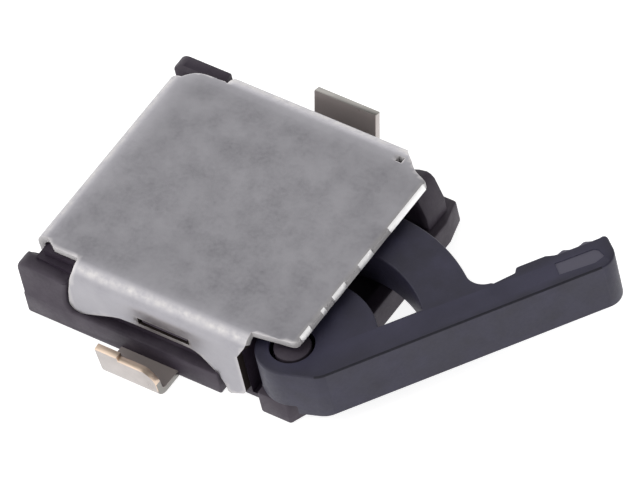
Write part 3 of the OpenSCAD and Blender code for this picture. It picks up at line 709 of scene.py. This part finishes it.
def makeCover():
    sizes = {
        "bend": 0.25, "ease": 0.24, "easeTurn": 0.13, "sideOut": 1.76, "farOut": 1.797,
        "endOut": 1.95, "openEdge": 1.972, "strip": 0.638, "legFoot": 0.05, "flapGap": 0.01,
        # left edge, its flare and the rounding of the ear below
        "nearFlap": (-1.34, 0.13, 0.14), "farFlap": (-1.2, 0.05, 0.1),
        "hubEdge": 1.37, "farTrim": 0.12, "farEdge": 1.555, "endNear": 0.111,
        "endFar": 0.126, "endFoot": 0.42, "endRound": 0.2, "holeX": (1.428, 1.518),
        "holeIn": (0.108, 0.024), "cell": 0.09, "wallCell": 0.1, "firstCell": -1.52,
        "rubbedGlint": ((-1.36, -1.14), (-0.905, -0.82), (-0.665, -0.385), (-0.11, 0.18), (0.54, 1.31)),
        "rubSlope": 0.008, "rubIn": 0.025, "rubOut": 0.02, "rubLift": 0.03, "round": 0.012,
        "crestTilt": 0.6, "crestSpread": 0.36, "shadeMargin": 0.02,
    }
    bend, ease, easeTurn = sizes["bend"], sizes["ease"], sizes["easeTurn"]
    height, strip, foot = switch["height"], sizes["strip"], sizes["legFoot"]
    legX, slotX, slotZ = switch["legX"], switch["slotX"], switch["slotZ"]
    hub, edgeX = sizes["hubEdge"], sizes["openEdge"]
    fold, farFold, endFold = (sizes[k] - bend * (1 - sin(easeTurn))
                              for k in ("sideOut", "farOut", "endOut"))
    arc = bend * (pi / 2 - easeTurn)
    foldTop = height - easeTurn * ease / 2
    level = foldTop - bend * cos(easeTurn)

    # place on the flat blank of a point at height z
    def down(z, edge):
        if z > level:
            turned = acos(min(1, cos(easeTurn) - (foldTop - z) / bend))
            return edge + bend * max(0, turned - easeTurn)
        return edge + arc + level - z

    # outline of one side, by its heights on the folded cover
    def flap(left, flare, ear, rightSide, edge):
        z0 = switch["skirt"] + sizes["flapGap"]
        points = [(left + flare, 1.2), (left + flare, 1.1), (left + 0.6 * flare, 0.89),
                  (left + 0.25 * flare, 0.73)]
        points += arcPoints((left + ear, z0 + ear), ear, 180, 290, 8)
        points += [
            (slotX[0] - 0.42, strip - 0.05), (slotX[0] - 0.3, strip - 0.012),
            (slotX[0] - 0.12, strip), (0.5, strip), (0.57, strip - 0.02), (0.64, strip - 0.063),
            (0.72, 0.493), (0.8, 0.4), (0.87, 0.305), (0.91, 0.225), (0.935, 0.15),
            (0.945, foot + 0.02), (0.98, foot), (legX[1] - 0.04, foot + 0.11),
            (legX[1], foot + 0.17), (legX[1], 0.88)]
        return [(x, down(z, edge)) for x, z in points + rightSide]

    hubSide = [(hub - 0.015, 1.06), (hub, 1.1), (hub, 1.2)]
    nearSide = [(x, -v) for x, v in flap(*sizes["nearFlap"], hubSide, fold)]
    trimX = legX[1] + sizes["farTrim"]
    farSide = flap(*sizes["farFlap"], [(trimX, 0.95), (trimX, level)], farFold)
    farSide += [(x, farFold + bend * radians(t))
                for x, t in ((1.365, 70), (1.4, 50), (1.455, 30), (1.51, 16))]
    openSide = [(hub + 0.04, -fold + 0.006), (edgeX - 0.06, -fold + 0.076),
                (edgeX - 0.02, -fold + 0.096), (edgeX, -fold + 0.136)]
    openSide += [(x, farFold - inset) for x, inset in (
        (edgeX, 0.286), (edgeX - 0.015, 0.226), (1.9, 0.198), (1.82, 0.168), (1.74, 0.128),
        (1.67, 0.076), (1.61, 0.016), (sizes["farEdge"], -0.03))]
    r, roundX = sizes["endRound"], sizes["endRound"] - down(sizes["endFoot"], endFold)
    y0, y1 = -fold + sizes["endNear"], fold - sizes["endFar"]
    endSide = [(-endFold, y1), (roundX, y1)] + arcPoints((roundX, y1 - r), r, 99, 180, 9)
    endSide += arcPoints((roundX, y0 + 0.04 + r), r, 180, 270, 10)
    endSide += [
        (-endFold - arc, y0 + 0.02), (-endFold - bend * radians(38), y0), (-endFold, y0 - 0.01),
        (-endFold + 0.02, y0 - 0.03), (-endFold + 0.1, -fold + 0.04), (-endFold + 0.14, -fold)]
    corner = [(-1.2, farFold + 0.012), (-1.27, 1.582), (-1.365, 1.583), (-1.454, 1.578),
              (-1.534, 1.562), (-1.609, 1.532), (-1.665, 1.488), (-1.705, 1.445)]
    outline = nearSide + openSide + list(reversed(farSide)) + corner + endSide

    # the blank is divided into rows, closer together where it bends
    bm = bmesh.new()
    bm.faces.new([bm.verts.new((x, v, 0)) for x, v in cleanOutline(outline, 1e-4)])
    sides = ((-1, fold), (1, farFold))
    bendSteps = [arc * k / 9 for k in range(10)] + [-ease * k / 4 for k in range(1, 5)]
    slotV = {side: [down(z, edge) for z in slotZ] for side, edge in sides}
    holeX, holeY = sizes["holeX"], [farFold - inset for inset in sizes["holeIn"]]
    cell, wallCell, slope = sizes["cell"], sizes["wallCell"], sizes["rubSlope"]
    rowsY = {side * (edge + b) for side, edge in sides for b in bendSteps}
    rowsY |= {side * v for side in slotV for v in slotV[side]} | set(holeY)
    rowsY |= {k * cell for k in range(-15, 16)}
    rowsY |= {side * (edge + arc + wallCell * k) for side, edge in sides for k in range(1, 10)}
    rowsY |= {y + d for ends in sizes["rubbedGlint"] for y in ends for d in (-slope, slope)}
    rowsX = {-(endFold + b) for b in bendSteps} | set(slotX) | set(holeX)
    rowsX |= {-endFold - arc - wallCell * k for k in range(1, 6)}
    rowsX |= {sizes["firstCell"] + k * cell for k in range(39)}
    for normal, rows in ((Vector((1, 0, 0)), rowsX), (Vector((0, 1, 0)), rowsY)):
        for row in sorted(rows):
            bmesh.ops.bisect_plane(bm, geom=bm.verts[:] + bm.edges[:] + bm.faces[:], dist=1e-5,
                                   plane_co=normal * row, plane_no=normal)

    def isOpen(place):
        low, high = slotV[-1 if place.y < 0 else 1]
        inSlot = slotX[0] < place.x < slotX[1] and high < abs(place.y) < low
        return inSlot or (holeX[0] < place.x < holeX[1] and holeY[0] < place.y < holeY[1])

    gone = [face for face in bm.faces if isOpen(face.calc_center_median())]
    bmesh.ops.delete(bm, geom=gone, context="FACES")
    bmesh.ops.remove_doubles(bm, verts=bm.verts, dist=0.002)
    for face in bm.faces:
        if face.normal.z < 0:
            face.normal_flip()
    folded = runTree(fromBmesh("blank", bm), foldTree(), {
        "Side Fold": fold, "Far Extra": farFold - fold, "End Fold": endFold,
        "Outer Radius": bend, "Ease": ease, "Ease Turn": easeTurn, "Top": height,
        "Material": coverFinish,
    })
    modify(folded, "SOLIDIFY", thickness=switch["sheet"], offset=-1, use_even_offset=True,
           material_offset_rim=sheetMark)
    bake(folded)

    # the open edge is rubbed to short slopes where the tool sheared it; their bright colour is a
    # painted glint
    def isRubbedGlint(place):
        return place.x > edgeX - 0.04 and any(a < place.y < b for a, b in sizes["rubbedGlint"])

    for v in folded.data.vertices:
        if v.co.x > edgeX - 0.01 and isRubbedGlint(v.co):
            if v.co.z > height - 0.05:
                v.co.x -= sizes["rubIn"]
            else:
                v.co += Vector((sizes["rubOut"], 0, sizes["rubLift"]))
    roundEdges(folded, sizes["round"], 2, 50)
    # painted shade on the cut faces beside the hub and in the latch slots
    rim = sizes["shadeMargin"]
    paintFaces(folded, "cutShade", lambda c, n, mark: mark > 0 and abs(c.y) > 1.6 and (
        (n.x > 0.5 and legX[1] - 0.03 < c.x < hub and c.z < 1.1)
        or (slotX[0] - rim < c.x < slotX[1] + rim
            and slotZ[0] - rim < c.z < slotZ[1] + rim)))
    # painted highlight along the folds, lightest where the sheet leans by the given tilt
    tilts = [acos(max(-1, min(1, v.normal.z))) for v in folded.data.vertices]
    foldHighlight = folded.data.attributes.new("foldHighlight", "FLOAT", "POINT")
    foldHighlight.data.foreach_set("value", [
        max(0.0, 1 - abs(tilt - sizes["crestTilt"]) / sizes["crestSpread"]) for tilt in tilts])
    paintFaces(folded, "cutFace", lambda c, n, mark: mark == sheetMark)
    # painted highlight: the rubbed slopes that face up are given the bright glint colour
    paintFaces(folded, "rubbedGlint", lambda c, n, mark: mark > 0 and n.z > 0.2
               and isRubbedGlint(c))
    finishPiece(folded, "foldedCover", "housing", ["cover"], coverFinish)


# Sets rounded ridges in a row.
def teethTree():
    tree, given = newTree("gripTeeth", Teeth="Int", Pitch="Float")
    step = addNode(tree, "ShaderNodeCombineXYZ", {
        "X": calculate(tree, "MULTIPLY", given["Pitch"], -1.0)})
    row = addNode(tree, "GeometryNodeMeshLine", {
        "Count": given["Teeth"], "Offset": step[0]}, mode="OFFSET")
    ridges = addNode(tree, "GeometryNodeInstanceOnPoints", {
        "Points": row["Mesh"], "Instance": given["Geometry"]})
    return endTree(tree, given, ridges["Instances"])


# where the studs of the moving contact come through the arm
def studCentres():
    middle = (switch["armIn"] + switch["armOut"]) / 2
    angles = [radians(switch["sweep"] - back) for back in switch["studs"]]
    return [(middle * cos(a), middle * sin(a)) for a in angles]


def makeLever():
    sizes = {
        "hub": 0.46, "hubGap": 0.012, "web": 1.05, "length": 4.0, "out": 0.64, "width": 0.42,
        "rib": 0.22, "ribZ": 0.25, "hubZ": 0.39, "armZ": 0.45, "rootRound": 0.25,
        "noseRound": 0.3, "noseLead": 0.1, "tipRound": 0.23, "tipSoft": 0.06, "valley": 0.182,
        "grip": 0.135, "gripStart": 2.82, "pitch": 0.28, "teeth": 2, "firstTooth": 3.72,
        "toothHigh": 0.036, "toothHalf": 0.1, "toothRound": 0.06, "toothSoft": 0.02,
        "pocket": 0.325, "pocketZ": 0.51, "pocketLid": 0.06, "mouth": 0.285, "pad": 0.008,
        "round": 0.022, "stud": 0.06, "studHead": 0.09, "legSlot": (0.28, 0.68),
        "legTurn": (27, 44.5), "legSlotZ": (0.002, 0.072),
    }
    top, inner = switch["leverTop"], -(sizes["out"] - sizes["width"])
    armIn, armOut, armZ = switch["armIn"], switch["armOut"], sizes["armZ"]
    hub, nose, pocketZ = sizes["hub"], sizes["noseRound"], sizes["pocketZ"]
    noseCentre = (nose - sizes["noseLead"], -sizes["out"] + nose)
    side = degrees(atan2(noseCentre[1], noseCentre[0])
                   - acos((hub - nose) / hypot(*noseCentre))) + 360
    length, tip, soft = sizes["length"], sizes["tipRound"], sizes["tipSoft"]
    valley, grip, start = -sizes["valley"], -sizes["grip"], sizes["gripStart"]

    # Hub, nose and bar are one outline. The others run into it at their own heights and a slab
    # trims them all.
    bar = arcPoints((0, 0), hub, 60, side, 36)
    bar += arcPoints(noseCentre, nose, side, 270, 10)
    bar += arcPoints((length - tip, -sizes["out"] + tip), tip, 270, 360, 12)
    bar += arcPoints((length - soft, valley - 0.05), soft, 0, 90, 5)
    bar += [(length - 0.09, valley), (3.4, valley), (3.33, valley + 0.006), (3.27, grip - 0.02),
            (3.22, grip), (start + 0.03, grip), (start + 0.01, grip - 0.02),
            (start - 0.02, inner + 0.008), (start - 0.3, inner - 0.02),
            (2.3, inner), (0.31, inner), (0.31, 0.02)]
    rootR = sizes["rootRound"]
    rootX = sqrt((armOut + rootR) ** 2 - (inner + rootR) ** 2)
    lean = degrees(atan2(inner + rootR, rootX))
    root = arcPoints((rootX, inner + rootR), rootR, 268, 180 + lean - 2, 14)
    root += [(armOut - 0.12, inner + rootR * 0.9), (armOut - 0.12, inner - 0.1),
             (rootX, inner - 0.1)]
    lever = prism(bar, -0.5, 2)
    unite(
        lever,
        ringSector(0.3, sizes["web"], -36, 86, -0.6, 2.1),
        ringSector(armIn, armOut, -12, switch["sweep"], -0.7, 2.2),
        prism(root, -0.8, 2.3),
    )
    keepInside(lever, block(-2, 6, -3, 3, sizes["ribZ"], top))

    # below the arm only the rib and the hub reach down
    under = block(-3, 7, -4, 4, -1, armZ)
    hubHole = disc((0, 0), hub + sizes["hubGap"], -2, 1.5)
    fillHole = prism([(0, 0), (-0.35, -0.33), (-0.1, -0.62), (0.3, -0.62)], -2.1, 1.6)
    ribY = -sizes["out"] + sizes["rib"]
    cut(under, block(-4, 8, -5, ribY, -2.2, 1.7), hubHole, fillHole)
    cut(lever, under)
    cut(lever, cut(block(-1, 1, -1, 1, -1, sizes["hubZ"]), block(-2, 2, -5, ribY, -2, 2)))

    tipPad = prism([
        (length - 0.72, -0.31), (length - 0.73, -0.5), (length - 0.28, -0.53),
        (length - 0.14, -0.48), (length - 0.17, -0.36), (length - 0.22, -0.32)],
        top - sizes["pad"], top + 1)
    roundEdges(tidyMesh(lever, 0.014), sizes["round"], 3, 32, False)
    cut(
        lever,
        disc((0, 0), switch["boreRadius"], 0, 2),
        disc((0, 0), sizes["pocket"], pocketZ, top - sizes["pocketLid"]),
        disc((0, 0), sizes["mouth"], 0.9, 2.1),
    )
    tooth, half, toothR = sizes["firstTooth"], sizes["toothHalf"], sizes["toothRound"]
    ridge = prism([
        (tooth - 1.2 * half, valley - 0.04), (tooth - half, valley - 0.002),
        *arcPoints((tooth, valley + sizes["toothHigh"] - toothR), toothR, 125, 55, 6),
        (tooth + half, valley - 0.002), (tooth + 1.2 * half, valley - 0.04)],
        armZ + 0.005, top - 0.006)
    roundEdges(ridge, sizes["toothSoft"], 2, 60)
    unite(lever, runTree(ridge, teethTree(), {
        "Teeth": sizes["teeth"], "Pitch": sizes["pitch"], "Material": leverFinish}))
    studs = []
    for centre in studCentres():
        studs += [disc(centre, sizes["stud"], armZ - 0.07, armZ + 0.02, 24),
                  disc(centre, sizes["studHead"], armZ - 0.08, armZ - 0.06, 24)]
    unite(lever, *studs)
    # room for the spring's leg over the whole swing
    legSlot = ringSector(
        *sizes["legSlot"], sizes["legTurn"][0] - switch["swing"], sizes["legTurn"][1],
        *(pocketZ + z for z in sizes["legSlotZ"]))
    cut(lever, legSlot, tipPad)
    paintFaces(lever, "mattPad", lambda c, n, _: n.z > 0.9 and c.x > 3
               and top - 0.012 < c.z < top - 0.004)
    # painted shade: a dark line along the bar's outer top edge
    paintFaces(lever, "topEdgeShade", lambda c, n, mark: mark == edgeMark and n.z > 0.2
               and n.y < -0.2 and c.z > top - 0.06 and c.y < -0.5
               and 0.06 < c.x < length - 0.3)
    move(lever, leverAtRest)
    finishPiece(lever, "swingLever", "lever", ["lever"], leverFinish)


# Sweeps round wire along a path.
def wireTree():
    tree, given = newTree("springWire", Wire="Float", Sides="Int")
    section = addNode(tree, "GeometryNodeCurvePrimitiveCircle", {
        "Resolution": given["Sides"], "Radius": calculate(tree, "MULTIPLY", given["Wire"], 0.5)})
    swept = addNode(tree, "GeometryNodeCurveToMesh", {
        "Curve": given["Geometry"], "Profile Curve": section["Curve"], "Fill Caps": True})
    return endTree(tree, given, swept["Mesh"])


def makeSpring():
    sizes = {"wire": 0.05, "fit": 0.98, "wireSides": 12, "pitch": 1.2, "turns": 4,
             "start": 97.4, "corner": 0.04, "legOut": 0.62, "foot": 0.545, "tail": 0.1}
    coil, corner, foot = switch["coilRadius"], sizes["corner"], sizes["foot"]
    a0, a1 = radians(sizes["start"]), radians(switch["slitAngle"] + 360 * sizes["turns"])
    climb = sizes["pitch"] * sizes["wire"] * (a1 - a0) / (2 * pi)

    def ring(r, a, z):
        return Vector((r * cos(a), r * sin(a), z))

    # the ways along and out from the coil where it starts and ends
    side0, out0 = Vector((-sin(a0), cos(a0), 0)), Vector((cos(a0), sin(a0), 0))
    side1, out1 = Vector((-sin(a1), cos(a1), 0)), Vector((cos(a1), sin(a1), 0))
    c0, c1 = ring(coil + corner, a0, foot), ring(coil - corner, a1, foot + climb)
    turns = [radians(t) for t in range(0, 91, 15)]
    points = [c0 - corner * side0 + (sizes["legOut"] - coil) * out0]
    points += [c0 - corner * (cos(t) * side0 + sin(t) * out0) for t in turns]
    count = int(degrees(a1 - a0) / 8)
    points += [ring(coil, a0 + (a1 - a0) * k / count, foot + climb * k / count)
               for k in range(1, count)]
    points += [c1 + corner * (cos(t) * out1 + sin(t) * side1) for t in turns]
    points += [c1 + corner * side1 - sizes["tail"] * out1]
    spring = runTree(pathObject([tuple(p) for p in points]), wireTree(), {
        "Wire": sizes["wire"] * sizes["fit"], "Sides": sizes["wireSides"],
        "Material": springFinish,
    })
    move(spring, aboutPivot)
    finishPiece(spring, "returnSpring", "housing", ["return_spring"],
                springFinish, 60)


def makeContact():
    sizes = {"top": 0.44, "blade": 0.05, "gap": 0.01, "margin": 0.075, "short": 2, "reach": 16,
             "finger": 0.14, "studHole": 0.065, "round": 0.008}
    top, low = sizes["top"], switch["floor"] + sizes["gap"]
    under = top - sizes["blade"] + sizes["gap"]
    aEnd = switch["sweep"] - sizes["short"]
    aTip = switch["tipAngle"] - switch["restAngle"]
    aMid, finger = (aEnd + aTip) / 2, sizes["finger"]
    contact = ringSector(
        switch["armIn"] + sizes["margin"], switch["armOut"] - sizes["margin"],
        switch["sweep"] - sizes["reach"], aEnd, under, top)
    fingers = []
    for r in (switch["commonRadius"], switch["signalRadius"]):
        half = r * tan(radians(aTip - aMid))
        outline = [
            (-half - 0.05, top), (-half - 0.05, under), (-half, under), (half - 0.07, low),
            (half - 0.03, low - 0.002), (half, low), (half + 0.04, low + 0.03),
            (half + 0.06, low + 0.06), (half + 0.03, low + 0.085), (half - 0.02, low + 0.05),
            (half - 0.05, low + 0.05), (-half + 0.02, top)]
        fingers.append(move(prism(outline, r - finger / 2, r + finger / 2, "x"),
                            Matrix.Rotation(radians(aMid), 4, "Z")))
    unite(contact, *fingers)
    cut(contact, *[disc(centre, sizes["studHole"], 0, 2, 24) for centre in studCentres()])
    roundEdges(contact, sizes["round"], 1, 40)
    move(contact, leverAtRest)
    finishPiece(contact, "movingContact", "lever", ["moving_contact"],
                contactFinish)


def makeStudio():
    studio = {
        "floorRadius": 0.6, "floorDrop": 0.000002, "paper": (0.58, 0.6), "gloss": 0.1,
        "glow": 0.82, "horizon": 1.02, "zenith": 0.27, "sky": (0.15, 0.75),
        # soft lights: from where, edge of the light as a cosine, strength
        "lights": (((-0.81, 0.49, 0.33), 0.9, 0.56), ((-0.47, 0.79, 0.4), 0.9, 0.8),
                   ((-0.47, -0.42, 0.775), 0.62, 1.35)),
    }
    bm = bmesh.new()
    bmesh.ops.create_circle(bm, cap_ends=True, radius=studio["floorRadius"], segments=96)
    material, tree, place = newMaterial(
        "floorPaper", Roughness=0.95, Emission_Color=(1, 1, 1, 1),
        Emission_Strength=studio["glow"], Specular_IOR_Level=studio["gloss"])
    speck = spread(tree, noise(tree, place, 8, 2), 0, 1)
    paper = blendColours(tree, speck, *((grey, grey, grey) for grey in studio["paper"]))
    floor = coat(fromBmesh("floor", bm), endMaterial(material, Base_Color=paper))
    floor.location.z = -studio["floorDrop"]

    world = bpy.data.worlds.new("studio")
    bpy.context.scene.world = world
    world.use_nodes = True
    tree = world.node_tree
    sky = tree.nodes["Background"].inputs
    sky["Color"].default_value = (1, 1, 1, 1)
    way = addNode(tree, "ShaderNodeTexCoord")["Generated"]
    height = addNode(tree, "ShaderNodeSeparateXYZ", {0: way})["Z"]
    bright = spread(
        tree, height, studio["horizon"], studio["zenith"], *studio["sky"], "SMOOTHSTEP")
    for source, edge, strength in studio["lights"]:
        towards = addNode(
            tree, "ShaderNodeVectorMath", {0: way, 1: source}, operation="DOT_PRODUCT")
        light = spread(tree, towards["Value"], 0, strength, edge, 1, "SMOOTHSTEP")
        bright = calculate(tree, "ADD", bright, light)
    tree.links.new(bright, sky["Strength"])


def makeCamera():
    view = {
        "right": (0.81394, 0.5573, -0.16407), "up": (-0.34339, 0.68933, 0.63789),
        "back": (0.46859, -0.46286, 0.75245), "offset": (0.0008806, 0.0003247, 0.1298),
        "lens": 600, "sensor": 36, "near": 0.001, "far": 10,
    }
    data = bpy.data.cameras.new("camera")
    data.lens, data.sensor_width = view["lens"], view["sensor"]
    data.clip_start, data.clip_end = view["near"], view["far"]
    camera = newObject("camera", data)
    turn = Matrix((view["right"], view["up"], view["back"])).transposed()
    camera.matrix_world = Matrix.Translation(turn @ Vector(view["offset"])) @ turn.to_4x4()
    bpy.context.scene.camera = camera


makeTerminals()
makeBase()
makeCover()
makeLever()
makeSpring()
makeContact()
makeStudio()
makeCamera()
for mark in marks:
    bpy.data.materials.remove(mark)
bpy.context.scene.view_settings.view_transform = "Standard"
print("studio ready")
